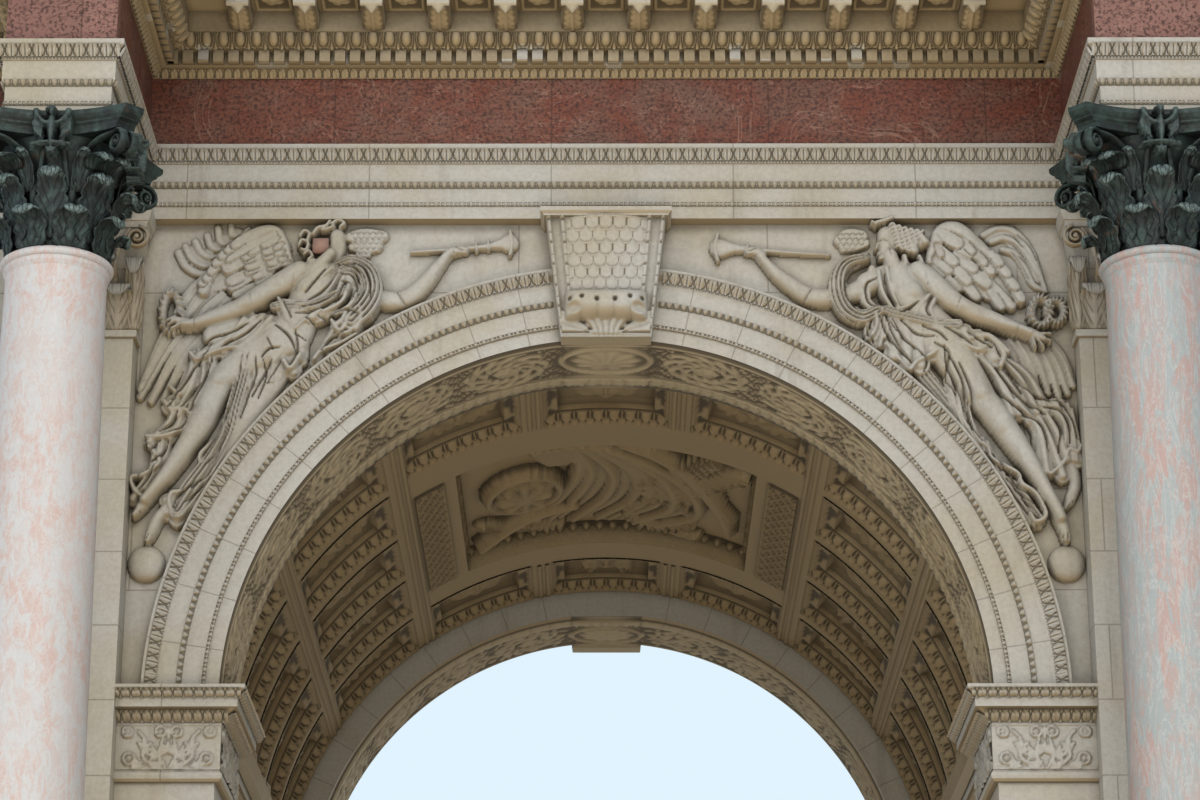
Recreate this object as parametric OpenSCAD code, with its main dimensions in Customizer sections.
// Triumphal arch, one bay: masonry piers, coffered barrel vault, columns in front of pilasters,
// an entablature that breaks forward over the columns, and a plain attic.
// The front faces -Y, the ground is z = 0 and the origin is at the middle of the passage.

/* [Arch] */
// Radius of the arch opening at the two rings
opening_r = 2225; // [2000:5:2450]
// Height of the arch's centre above the ground
centre_h = 6395; // [6000:5:6900]
// Depth of the masonry between the front and rear wall faces
wall_depth = 6654; // [6200:2:7400]
// Width of each pier, from the opening to the end wall
pier_w = 1475; // [1400:5:1900]
// Depth of the voussoir ring at each mouth of the vault
ring_depth = 800; // [600:10:1000]
// How far the vault and the passage walls lie outside the rings
vault_step = 188; // [120:2:240]
// Radial width of the archivolt
archivolt_w = 437; // [400:1:480]

/* [Columns] */
// Distance of the column axes beyond the edge of the opening
column_gap = 857; // [840:1:900]
// Distance of the column axes in front of the wall
column_out = 1189; // [1100:1:1400]
// Radius of the shaft at its foot
shaft_r = 325; // [300:1:345]
// Radius of the shaft under its astragal
neck_r = 282; // [260:1:295]
// Height of the pedestals and of the basement
pedestal_h = 2400; // [2000:10:2700]
// Height of the bronze capitals
capital_h = 768; // [700:2:820]

/* [Entablature] */
// Height from the crown of the archivolt to the underside of the architrave
crown_gap = 319; // [260:1:400]
// Height of the architrave
architrave_h = 463; // [420:1:500]
// Height of the marble frieze
frieze_h = 459; // [400:1:520]
// Height of the cornice
cornice_h = 527; // [480:1:600]
// Spacing of the modillions
modillion_pitch = 402; // [380:1:430]

/* [Attic] */
// Height of the attic, from the cornice to the underside of its cap
attic_h = 3100; // [2600:10:3600]
// Height of the attic's cap
attic_cap_h = 420; // [360:5:480]

/* [Hidden] */

$fn = 96;

// Colours
c_stone = "#c9c0ad";
c_shade = "#8d7c55";
c_marble = "#c9a79b";
c_bronze = "#2f4a40";
c_frieze = "#7a3a30";
c_base = "#a9a394";

// Planes of the masonry
face_y = wall_depth / 2;
end_x = opening_r + pier_w;
vault_r = opening_r + vault_step;
ring_r = opening_r + archivolt_w;
inner_y = face_y - ring_depth;
wall_back = 50;
column_x = opening_r + column_gap;
architrave_z = ring_r + crown_gap;

// Heights above the ground
step_h = 300;
impost_over = 60;
impost_h = 533;
impost_top = centre_h + impost_over;
pier_top = impost_top - impost_h;
entablature_z = centre_h + architrave_z;
frieze_z = entablature_z + architrave_h;
cornice_z = frieze_z + frieze_h;
attic_z = cornice_z + cornice_h;
attic_plinth_h = 520;
attic_top = attic_z + attic_h;

// Entablature breaks
main_out = 51;
break_half = 297;
break_out = column_out + break_half;

// Column parts
base_h = 330;
base_half = 445;
capital_z = entablature_z - capital_h;
shaft_z = pedestal_h + base_h;
astragal_r = 24;

// Pilasters
pilaster_half = 290;
pilaster_out = 170;

// Keystone
key_angle = 6.96;
key_drop = 40;
key_bottom = opening_r - key_drop;
key_cap_half = 392;
key_cap_out = 240;
key_cap_h = 50;
key_cut = 600;

// Coffers of the vault
coffer_first = 1200;
coffer_pitch = 950;
coffer_len = 830;
coffer_rows = 5;
coffer_step = 22.9;
coffer_span = 19.6;
coffer_depth = 70;
panel_half_angle = 24.6;
panel_start = 2470;
panel_end = 4640;

function plan_at(plan, z) = [for (q = plan) [q[0], q[1], z]];

// A solid through outlines with the same number of points, one above the other
module lofted(rings, caps) {
    n = len(rings[0]);
    last = (len(rings) - 1) * n;
    polyhedron(
        points = [for (ring = rings) for (q = ring) q],
        faces = concat(
            [for (k = [0 : len(rings) - 2]) for (i = [0 : n - 1])
                [k * n + i, (k + 1) * n + i, (k + 1) * n + (i + 1) % n, k * n + (i + 1) % n]],
            caps,
            [for (c = caps) [for (i = [len(c) - 1 : -1 : 0]) last + c[i]]]),
        convexity = 10);
}

// Plan of one pier, moved out by o: a block at each mouth and a set-back passage wall between
function pier_plan(o) = [
    [opening_r - o, -face_y - o],
    [end_x + o, -face_y - o],
    [end_x + o, face_y + o],
    [opening_r - o, face_y + o],
    [opening_r - o, inner_y - o],
    [vault_r - o, inner_y - o],
    [vault_r - o, -inner_y + o],
    [opening_r - o, -inner_y + o]];
pier_caps = [[0, 1, 7], [1, 6, 7], [1, 5, 6], [1, 2, 5], [2, 4, 5], [2, 3, 4]];

// Plan that breaks forward over the columns, moved out by o; half, main and out place its faces
function break_plan(o, half, main, out) =
    let (a = column_x - half - o, b = column_x + half + o,
         m = face_y + main + o, r = face_y + out + o, e = end_x + main + o,
         front = [[-e, -m], [-b, -m], [-b, -r], [-a, -r], [-a, -m], [a, -m], [a, -r], [b, -r], [b, -m], [e, -m]])
    concat(front, [for (i = [9 : -1 : 0]) [front[i][0], -front[i][1]]]);
break_caps = [[1, 2, 3, 4], [5, 6, 7, 8], [11, 12, 13, 14], [15, 16, 17, 18],
              [0, 1, 18, 19], [1, 4, 15, 18], [4, 5, 14, 15], [5, 8, 11, 14], [8, 9, 10, 11]];

module pier_moulding(profile, z0)
    lofted([for (p = profile) plan_at(pier_plan(p[0]), z0 + p[1])], pier_caps);

module break_moulding(profile, z0, half = break_half, main = main_out, out = break_out)
    lofted([for (p = profile) plan_at(break_plan(p[0], half, main, out), z0 + p[1])], break_caps);

module left_too(left) mirror([left ? 1 : 0, 0, 0]) children();
module at_corner(left, back) mirror([left ? 1 : 0, 0, 0]) mirror([0, back ? 1 : 0, 0]) children();

// Ground step under a pier and its pedestals
step_out = 190;
module step_plan()
    polygon([
        [opening_r - step_out / 2, -face_y - step_out],
        [column_x - base_half - step_out, -face_y - step_out],
        [column_x - base_half - step_out, -face_y - column_out - base_half - step_out],
        [column_x + base_half + step_out, -face_y - column_out - base_half - step_out],
        [column_x + base_half + step_out, -face_y - step_out],
        [end_x + step_out, -face_y - step_out],
        [end_x + step_out, 0],
        [opening_r - step_out / 2, 0]]);

module step_block(left)
    color(c_base) left_too(left) linear_extrude(step_h) {
        step_plan();
        mirror([0, 1, 0]) step_plan();
    }

// Basement of a pier, with the pedestals' base and cap mouldings run round it
basement_base = [[90, 0], [90, 150], [62, 162], [70, 190], [60, 215], [30, 235], [30, 250], [0, 275]];
basement_cap = [[0, -235], [22, -225], [22, -205], [30, -160], [66, -120], [66, -60], [96, -25], [96, 0]];
basement_profile = concat(
    [for (p = basement_base) [p[0], step_h + p[1]]],
    [for (p = basement_cap) [p[0], pedestal_h + p[1]]]);

module basement(left)
    color(c_base) left_too(left) difference() {
        pier_moulding(basement_profile, 0);
        for (s = [-1, 1])
            translate([column_x - pedestal_half - 96, s < 0 ? -face_y - 200 : face_y, step_h - 1])
                cube([2 * pedestal_half + 192, 200, pedestal_h]);
    }

// Pedestal of a column, joined to the pier behind it
pedestal_half = 445;
module pedestal(left, back) {
    function outline(o) = [
        [column_x - pedestal_half - o, -face_y - column_out - pedestal_half - o],
        [column_x + pedestal_half + o, -face_y - column_out - pedestal_half - o],
        [column_x + pedestal_half + o, -face_y],
        [column_x - pedestal_half - o, -face_y]];
    color(c_base) at_corner(left, back)
        lofted([for (p = basement_profile) plan_at(outline(p[0]), p[1])], [[0, 1, 2, 3]]);
}

// Attic base: plinth, two tori and a scotia between them
module column_base(left, back)
    color(c_stone) at_corner(left, back) translate([column_x, -face_y - column_out, pedestal_h]) {
        translate([-base_half, -base_half, 0]) cube([2 * base_half, 2 * base_half, 105]);
        translate([0, 0, 105]) rotate_extrude() {
            square([base_half - 55, 90]);
            translate([base_half - 55, 45]) circle(d = 90);
            difference() {
                square([base_half - 45, 165]);
                translate([base_half - 30, 128]) circle(d = 76);
            }
            square([shaft_r + 24, 210]);
            translate([shaft_r + 24, 190]) circle(d = 40);
            square([shaft_r + 16, base_h - 105]);
        }
    }

// Shaft with its foot fillet, entasis and astragal
shaft_h = capital_z - shaft_z;
function entasis(t) = shaft_r - (shaft_r - neck_r) * pow(t, 1.6);
module column_shaft(left, back)
    color(c_marble) at_corner(left, back) translate([column_x, -face_y - column_out, shaft_z])
        rotate_extrude() {
            polygon(concat(
                [[0, 0], [shaft_r + 22, 0], [shaft_r + 22, 40], [shaft_r + 6, 70]],
                [for (i = [0 : 6]) [entasis(i / 6), 110 + i / 6 * (shaft_h - 290)]],
                [[neck_r, shaft_h - 105], [neck_r + 14, shaft_h - 78], [neck_r + 14, shaft_h - 46],
                 [neck_r + 6, shaft_h - 46], [neck_r + 6, shaft_h], [0, shaft_h]]));
            translate([neck_r + 10, shaft_h - astragal_r - 6]) circle(r = astragal_r);
        }

// One acanthus leaf: its spine climbs the bell and curls over at the tip
function leaf_rise(t) = t < 0.8 ? t / 0.8 : 1 - 0.14 * pow((t - 0.8) / 0.2, 1.5);
function leaf_width(t, w) = w * (0.62 + 0.62 * sin(20 + 150 * t)) * (t > 0.9 ? 0.62 : 1);
module leaf(r0, r1, z0, height, reach, w, steps = 8) {
    rings = [for (i = [0 : steps])
        let (t = i / steps,
             x = r0 + (r1 - r0) * t + reach * pow(t, 3),
             z = z0 + height * leaf_rise(t),
             hw = leaf_width(t, w) / 2,
             th = 22 + 10 * (1 - t))
        [[x - th - 14, -hw * 0.9, z], [x - 4, -hw, z], [x + th, 0, z], [x - 4, hw, z], [x - th - 14, hw * 0.9, z]]];
    lofted(rings, [[0, 1, 2], [0, 2, 3], [0, 3, 4]]);
}

// Outline of a horned abacus: four hollow sides that meet at cut corners
abacus_h = 120;
abacus_half = 508;
abacus_mid = 400;
abacus_cut = 90;
function abacus_side(inset = 0) = [for (i = [-4 : 4])
    let (t = i / 4) [abacus_half - inset - (abacus_half - abacus_mid) * (1 - t * t),
                     t * (abacus_half - inset - abacus_cut)]];
function quarter_turns(pts) = concat(pts, [for (p = pts) [-p[1], p[0]]], [for (p = pts) [-p[0], -p[1]]],
    [for (p = pts) [p[1], -p[0]]]);

module capital(left, back)
    color(c_bronze) at_corner(left, back) translate([column_x, -face_y - column_out, capital_z]) {
        bell_r = neck_r - 14;
        bell_top = capital_h - abacus_h;
        rotate_extrude() polygon([
            [0, 0], [bell_r, 0], [bell_r - 4, 300], [bell_r + 20, 480], [bell_r + 62, 590],
            [bell_r + 84, bell_top], [0, bell_top]]);
        translate([0, 0, bell_top]) linear_extrude(60) polygon(quarter_turns(abacus_side(34)));
        translate([0, 0, bell_top + 60]) linear_extrude(abacus_h - 60) polygon(quarter_turns(abacus_side()));
        for (i = [0 : 7]) {
            rotate([0, 0, i * 45]) leaf(bell_r, bell_r + 10, 0, 270, 84, 190);
            rotate([0, 0, i * 45 + 22.5]) leaf(bell_r - 6, bell_r + 30, 0, 470, 92, 170);
        }
        for (i = [0 : 3]) rotate([0, 0, 45 + i * 90])
            translate([sqrt(2) * (abacus_half - abacus_cut / 2) - 96, 0, bell_top - 74]) rotate([90, 0, 0])
                cylinder(r = 76, h = 90, center = true);
    }

// Flat pilaster behind a column, with its base and capital
module pilaster(left, back)
    color(c_stone) at_corner(left, back) {
        block(pilaster_half + 60, pilaster_out + 60, pedestal_h, 110);
        block(pilaster_half + 40, pilaster_out + 40, pedestal_h + 110, 90);
        block(pilaster_half + 18, pilaster_out + 18, pedestal_h + 200, base_h - 200);
        block(pilaster_half, pilaster_out, shaft_z, capital_z - 48 - shaft_z);
        block(pilaster_half + 22, pilaster_out + 22, capital_z - 48, 48);
        block(pilaster_half - 10, pilaster_out - 10, capital_z, 480);
        block(pilaster_half + 30, pilaster_out + 20, capital_z + 480, capital_h - abacus_h - 480);
        block(pilaster_half + 78, pilaster_out + 60, entablature_z - abacus_h, abacus_h);
        translate([column_x - pilaster_half, -face_y - 1, impost_top])
            cube([2 * pilaster_half, wall_back + 1, entablature_z - impost_top]);
        translate([column_x, -face_y - pilaster_out + 10, capital_z]) {
            for (x = [-1, 0, 1]) translate([x * low_leaf_w * 1.1, 0, 0]) stone_leaf(low_leaf_w, low_leaf_h, 78);
            for (x = [-1, 1]) translate([x * low_leaf_w * 0.55, 0, 0]) stone_leaf(low_leaf_w, high_leaf_h, 96);
            for (x = [-1, 1])
                translate([x * (pilaster_half - 8), -34, capital_h - abacus_h - volute_r + 12])
                    rotate([90, 0, 0]) cylinder(r = volute_r, h = 44);
        }
    }
module block(half, out, z, h)
    translate([column_x - half, -face_y - out, z]) cube([2 * half, out, h]);

// Stone acanthus leaf on a flat face: a strip that curls forward by reach, cut to a lobed outline
low_leaf_w = 172;
low_leaf_h = 262;
high_leaf_h = 452;
volute_r = 74;
module stone_leaf(w, h, reach)
    intersection() {
        rotate([90, 0, -90]) translate([0, 0, -w / 2]) linear_extrude(w)
            polygon([[-20, 2], [30, 2], [34, 0.5 * h], [0.5 * reach, 0.76 * h], [reach - 16, 0.8 * h],
                     [reach - 12, 0.72 * h], [reach + 4, 0.74 * h], [reach + 6, 0.86 * h],
                     [0.75 * reach, 0.97 * h], [0.4 * reach, h], [-20, 0.93 * h]]);
        rotate([90, 0, 0]) translate([0, 0, -30]) linear_extrude(reach + 60)
            for (s = [-1, 1]) scale([s, 1])
                polygon([[-1, 0], [0.4 * w, 0], [0.46 * w, 0.3 * h], [0.4 * w, 0.4 * h], [0.47 * w, 0.62 * h],
                         [0.4 * w, 0.72 * h], [0.4 * w, 0.86 * h], [0.24 * w, 1.01 * h], [-1, 1.01 * h]]);
    }

// Upper pier, a solid block of coursed stone with a set-back passage wall
module pier(left)
    color(c_stone) left_too(left) translate([0, 0, pedestal_h])
        linear_extrude(pier_top - pedestal_h) polygon(pier_plan(0));

// Impost: astragal, frieze, corona and crown, cut round the pilasters
impost_profile = [
    [0, 0], [26, 0], [40, 14], [46, 32], [40, 50], [30, 60], [30, 345],
    [48, 362], [96, 400], [108, 408], [128, 412], [128, 470], [140, 476], [150, 492], [168, 508], [172, 516],
    [172, impost_h]];
module impost(left)
    color(c_stone) left_too(left) difference() {
        pier_moulding(impost_profile, pier_top);
        for (s = [-1, 1])
            translate([column_x - pilaster_half, s < 0 ? -face_y - 300 : face_y, pier_top - 1])
                cube([2 * pilaster_half, 300, impost_h + 2]);
    }

// Wall above the imposts, bored through for the vault and its rings
module spandrel_wall()
    color(c_stone) difference() {
        translate([-end_x, -face_y + wall_back, impost_top])
            cube([2 * end_x, wall_depth - 2 * wall_back, entablature_z - impost_top]);
        translate([0, -face_y, centre_h]) rotate([-90, 0, 0]) cylinder(r = ring_r, h = wall_depth, $fn = 180);
        for (s = [0, 1]) mirror([0, s, 0]) translate([0, -face_y, centre_h]) rotate([90, 0, 0])
            translate([0, 0, -ring_depth]) linear_extrude(ring_depth) key_wedge(ring_r - 60, architrave_z + 60);
    }

// Outline of the keystone seen from the front, between two radii
module key_wedge(r0, r1) {
    w = tan(key_angle);
    polygon([[-r0 * w, r0], [r0 * w, r0], [r1 * w, r1], [-r1 * w, r1]]);
}

// Sector of a ring round the vault's axis, from the radius r0 to r1 and from the depth y0 to y1,
// centred on the angle a from the crown
module vault_sector(r0, r1, y0, y1, a, span)
    translate([0, -face_y, centre_h]) rotate([-90, 0, 0])
        rotate([0, 0, -90 + a - span / 2]) rotate_extrude(angle = span, $fn = 180)
            translate([r0, y0]) square([r1 - r0, y1 - y0]);

// Barrel vault with stepped coffers round a large relief panel
module vault()
    color(c_shade) difference() {
        translate([0, -inner_y, centre_h]) rotate([-90, 0, 0]) difference() {
            cylinder(r = ring_r, h = 2 * inner_y, $fn = 180);
            translate([0, 0, -1]) cylinder(r = vault_r, h = 2 * inner_y + 2, $fn = 180);
        }
        translate([-end_x, -face_y, centre_h - 2 * opening_r])
            cube([2 * end_x, wall_depth, 2 * opening_r + impost_over]);
        for (row = [0 : coffer_rows - 1]) for (col = [-3 : 3])
            if (row == 0 || row == coffer_rows - 1 || abs(col) > 1) coffer(row, col);
        vault_sector(vault_r - 50, vault_r + 150, panel_start, panel_end, 0, 2 * panel_half_angle);
    }

module coffer(row, col) {
    y0 = coffer_first + row * coffer_pitch;
    a = col * coffer_step;
    vault_sector(vault_r - 50, vault_r + coffer_depth, y0, y0 + coffer_len, a, coffer_span);
    vault_sector(vault_r - 50, vault_r + 2 * coffer_depth, y0 + 110, y0 + coffer_len - 110, a, coffer_span - 5);
}

// Voussoir ring at a mouth of the vault, with the archivolt's fasciae and crown on its face
module archivolt(back)
    color(c_stone) mirror([0, back ? 1 : 0, 0]) difference() {
        translate([0, -face_y, centre_h]) rotate([-90, 0, 0]) rotate_extrude($fn = 180)
            polygon([
                [opening_r, 0], [opening_r + 80, 0], [opening_r + 84, -10], [opening_r + 100, -10],
                [opening_r + 102, -14], [opening_r + 215, -14], [opening_r + 245, -30], [opening_r + 330, -30],
                [opening_r + 350, -38], [opening_r + 368, -44], [opening_r + 400, -72], [opening_r + 425, -80],
                [ring_r, -80], [ring_r, ring_depth], [opening_r, ring_depth]]);
        translate([-end_x, -face_y - 200, centre_h - 2 * opening_r])
            cube([2 * end_x, wall_depth, 2 * opening_r + impost_over]);
        translate([0, -face_y + ring_depth + 1, centre_h]) rotate([90, 0, 0])
            linear_extrude(ring_depth + 202) key_wedge(opening_r - 200, ring_r + 200);
    }

// Keystone: a wedge through the ring up to the architrave, with a scrolled console and a cap in front
module keystone(back)
    color(c_stone) mirror([0, back ? 1 : 0, 0]) translate([0, -face_y, centre_h]) {
        intersection() {
            translate([0, ring_depth + 100, 0]) rotate([90, 0, 0])
                linear_extrude(ring_depth + key_cut) key_wedge(key_bottom - 50, architrave_z + 50);
            rotate([0, 0, -90]) rotate([90, 0, 0]) translate([0, 0, -key_cut]) linear_extrude(2 * key_cut)
                console_profile();
        }
        translate([-key_cap_half, -key_cap_out, architrave_z - key_cap_h])
            cube([2 * key_cap_half, key_cap_out + wall_back, key_cap_h]);
    }

// Side view of the keystone, with x out from the wall
module console_profile() {
    soffit = opening_r * cos(key_angle);
    under_cap = architrave_z - key_cap_h;
    polygon([
        [-ring_depth, soffit], [-30, soffit], [0, key_bottom], [150, key_bottom], [175, key_bottom + 50],
        [225, key_bottom + 77], [275, key_bottom + 115], [292, key_bottom + 175], [275, key_bottom + 235],
        [235, key_bottom + 267], [190, key_bottom + 265], [160, key_bottom + 305], [150, key_bottom + 415],
        [155, under_cap - 190], [178, under_cap - 70], [205, under_cap], [-wall_back, under_cap],
        [-wall_back, architrave_z], [-ring_depth, architrave_z]]);
}

// Winged Victory in relief, standing on a globe in the corner of the spandrel. Each limb is a chain of
// [x, z, radius, depth] and each plate an outline, from the column's axis and the underside of the architrave
victory_globe = [[-408, -2150, 105, 50]];
victory_leg = [[-405, -2035, 46, 50], [-470, -1810, 48, 70], [-660, -1445, 78, 90], [-860, -1140, 88, 105],
               [-1095, -765, 130, 110]];
victory_far_leg = [[-355, -1600, 40, 45], [-640, -1220, 80, 60]];
victory_torso = [[-1125, -715, 125, 110], [-1245, -545, 112, 110], [-1320, -365, 105, 100]];
victory_head = [[-1360, -280, 48, 90], [-1385, -132, 100, 115]];
victory_near_arm = [[-1180, -375, 72, 105], [-935, -590, 62, 110], [-565, -740, 40, 95]];
victory_wreath = [[-480, -590, 62, 70], [-490, -760, 50, 80]];
victory_far_arm = [[-1515, -420, 66, 70], [-1850, -490, 60, 75], [-2145, -230, 36, 60]];
victory_trumpet = [[-1745, -215, 14, 40], [-2215, -185, 20, 45], [-2385, -170, 78, 50]];
victory_mantle = [[-1510, -250, 52, 70], [-1675, -370, 62, 75], [-1665, -540, 60, 75], [-1490, -635, 52, 75]];
victory_overfold = [[-1400, -720, 85, 95], [-1095, -790, 105, 105], [-790, -860, 70, 85]];
victory_outer_cloth = [[-890, -875, 80, 75], [-580, -1190, 70, 70], [-405, -1480, 66, 55]];
victory_inner_cloth = [[-1045, -935, 75, 75], [-930, -1345, 70, 65], [-720, -1680, 62, 60], [-585, -1870, 50, 50]];
victory_wing = [[-1120, -80], [-1080, -14], [-980, -10], [-825, -70], [-710, -200], [-610, -375],
                [-565, -555], [-620, -700], [-705, -640], [-790, -690], [-880, -610], [-970, -620],
                [-1060, -500], [-1125, -400]];
victory_coverts = [[-1100, -135], [-980, -70], [-805, -210], [-700, -395], [-665, -560], [-745, -520],
                   [-820, -560], [-890, -480], [-975, -490], [-1040, -390], [-1105, -350]];
victory_flight = [[-745, -715], [-680, -1020], [-640, -1000], [-600, -1085], [-550, -1050], [-490, -1125],
                  [-440, -1080], [-375, -1120], [-320, -1055], [-385, -810], [-480, -640]];
victory_far_wing = [[-1475, -105], [-1530, -30], [-1610, -14], [-1695, -50], [-1740, -120], [-1690, -200],
                    [-1570, -230], [-1475, -210]];
victory_scarf = [[-800, -80], [-635, -30], [-500, -175], [-440, -445], [-520, -420], [-560, -330], [-640, -300],
                 [-660, -190], [-740, -190]];
module victory(left, back)
    color(c_stone) at_corner(left, back) translate([0, -face_y + wall_back, centre_h]) difference() {
        translate([column_x, 0, architrave_z]) {
            for (points = [victory_globe, victory_leg, victory_far_leg, victory_torso, victory_head,
                           victory_near_arm, victory_wreath, victory_far_arm, victory_trumpet,
                           victory_mantle, victory_overfold, victory_outer_cloth, victory_inner_cloth])
                limb(points);
            plate(victory_wing, 55);
            plate(victory_coverts, 80);
            plate(victory_flight, 42);
            plate(victory_far_wing, 30);
            plate(victory_scarf, 28);
        }
        translate([-2 * end_x, 0, 0]) cube([4 * end_x, wall_depth, 2 * architrave_z]);
        rotate([90, 0, 0]) translate([0, 0, -10]) cylinder(r = ring_r, h = wall_depth, $fn = 180);
    }

module limb(points)
    for (i = [0 : max(0, len(points) - 2)])
        hull() {
            knuckle(points[i]);
            knuckle(points[min(i + 1, len(points) - 1)]);
        }
module knuckle(p) translate([p[0], 0, p[1]]) scale([p[2], p[3], p[2]]) sphere(1, $fn = 8);
module plate(outline, depth) rotate([90, 0, 0]) linear_extrude(depth) polygon(outline);

// Architrave: three fasciae with bead rows and a leaf crown
architrave_profile = [
    [0, 0], [0, 81], [7, 86], [7, 96], [4, 101], [4, 199], [22, 226], [22, 346],
    [28, 350], [28, 362], [34, 372], [52, 412], [66, 430], [69, 440], [69, architrave_h]];
module architrave() color(c_stone) break_moulding(architrave_profile, entablature_z);

// Frieze of red marble slabs
frieze_out = 16;
module frieze()
    color(c_frieze) translate([0, 0, frieze_z]) linear_extrude(frieze_h)
        polygon(break_plan(frieze_out, break_half, main_out, break_out));

// Cornice: leaf moulding, dentil band, egg moulding, modillion band, corona and gutter
band_out = 245;
soffit_h = 345;
cornice_profile = [
    [16, 0], [24, 4], [34, 26], [58, 46], [67, 52], [104, 52], [104, 132], [160, 136], [186, 144], [224, 178],
    [240, 206], [band_out, 212], [band_out, soffit_h], [600, soffit_h], [600, 430], [612, 434], [628, 450],
    [668, 486], [684, 508], [700, 512], [700, cornice_h]];
module cornice() color(c_stone) break_moulding(cornice_profile, cornice_z);

// One modillion: a scrolled bracket under the corona, pointing to -Y from the band
modillion_w = 132;
modillion_len = 290;
module modillion()
    translate([-modillion_w / 2, 0, 0]) rotate([90, 0, 90]) linear_extrude(modillion_w)
        polygon([[0, 0], [0, -115], [-60, -118], [-120, -100], [-200, -84], [-258, -92], [-modillion_len, -66],
                 [-modillion_len, 0]]);

// Modillions on the long runs, on the breaks' fronts and returns, and on the ends; the first on a return
// stands modillion_corner from the break's front
modillion_corner = 130;
module modillions()
    color(c_stone) for (t = [0, 1]) mirror([t, 0, 0]) for (s = [0, 1]) mirror([0, s, 0])
        translate([0, 0, cornice_z + soffit_h]) {
            main_y = face_y + main_out + band_out;
            break_y = face_y + break_out + band_out;
            side_x = break_half + band_out;
            last_end = floor((main_y - modillion_w) / modillion_pitch - 0.5);
            for (i = [0 : 5]) translate([(i + 0.5) * modillion_pitch, -main_y, 0]) modillion();
            for (i = [-1 : 1]) translate([column_x + i * modillion_pitch, -break_y, 0]) modillion();
            for (i = [0 : 2]) translate([column_x, modillion_corner + i * modillion_pitch - break_y, 0]) {
                translate([-side_x, 0, 0]) rotate([0, 0, -90]) modillion();
                translate([side_x, 0, 0]) rotate([0, 0, 90]) modillion();
            }
            for (i = [0 : last_end]) translate([end_x + main_out + band_out, -(i + 0.5) * modillion_pitch, 0])
                rotate([0, 0, 90]) modillion();
        }

// Base course of the attic, with a plinth over each column
module attic_plinth()
    color(c_stone) break_moulding([[-20, 0], [-20, 400], [-40, 430], [-40, attic_plinth_h]], attic_z);

// Attic storey with strips over the pilasters and a bare tablet on each long face
attic_break_half = 310;
attic_break_out = 190;
tablet_half = 2150;
tablet_margin = 420;
module attic()
    color(c_stone) difference() {
        translate([0, 0, attic_z + attic_plinth_h]) linear_extrude(attic_h - attic_plinth_h)
            polygon(break_plan(0, attic_break_half, -60, attic_break_out));
        for (s = [0, 1]) mirror([0, s, 0])
            translate([-tablet_half, -face_y, attic_z + attic_plinth_h + tablet_margin])
                cube([2 * tablet_half, 120, attic_h - attic_plinth_h - 2 * tablet_margin]);
    }

// Cap of the attic: bed moulding, corona and a weathered top
module attic_cap() {
    profile = [[0, 0], [30, 10], [30, 50], [70, 100], [180, 110], [180, 220], [250, 290], [250, 330],
               [-260, attic_cap_h]];
    color(c_stone) break_moulding(profile, attic_top, attic_break_half, -60, attic_break_out);
}

step_block(true);  // step_left
step_block(false);  // step_right
basement(true);  // basement_left
basement(false);  // basement_right
pier(true);  // pier_left
pier(false);  // pier_right
impost(true);  // impost_left
impost(false);  // impost_right
spandrel_wall();
vault();
archivolt(false);  // archivolt_front
archivolt(true);  // archivolt_back
keystone(false);  // keystone_front
keystone(true);  // keystone_back
pedestal(true, false);  // pedestal_front_left
pedestal(false, false);  // pedestal_front_right
pedestal(true, true);  // pedestal_back_left
pedestal(false, true);  // pedestal_back_right
column_base(true, false);  // column_base_front_left
column_base(false, false);  // column_base_front_right
column_base(true, true);  // column_base_back_left
column_base(false, true);  // column_base_back_right
column_shaft(true, false);  // column_shaft_front_left
column_shaft(false, false);  // column_shaft_front_right
column_shaft(true, true);  // column_shaft_back_left
column_shaft(false, true);  // column_shaft_back_right
capital(true, false);  // capital_front_left
capital(false, false);  // capital_front_right
capital(true, true);  // capital_back_left
capital(false, true);  // capital_back_right
pilaster(true, false);  // pilaster_front_left
pilaster(false, false);  // pilaster_front_right
pilaster(true, true);  // pilaster_back_left
pilaster(false, true);  // pilaster_back_right
victory(true, false);  // victory_front_left
victory(false, false);  // victory_front_right
victory(true, true);  // victory_back_left
victory(false, true);  // victory_back_right
architrave();
frieze();
cornice();
modillions();
attic_plinth();
attic();
attic_cap();
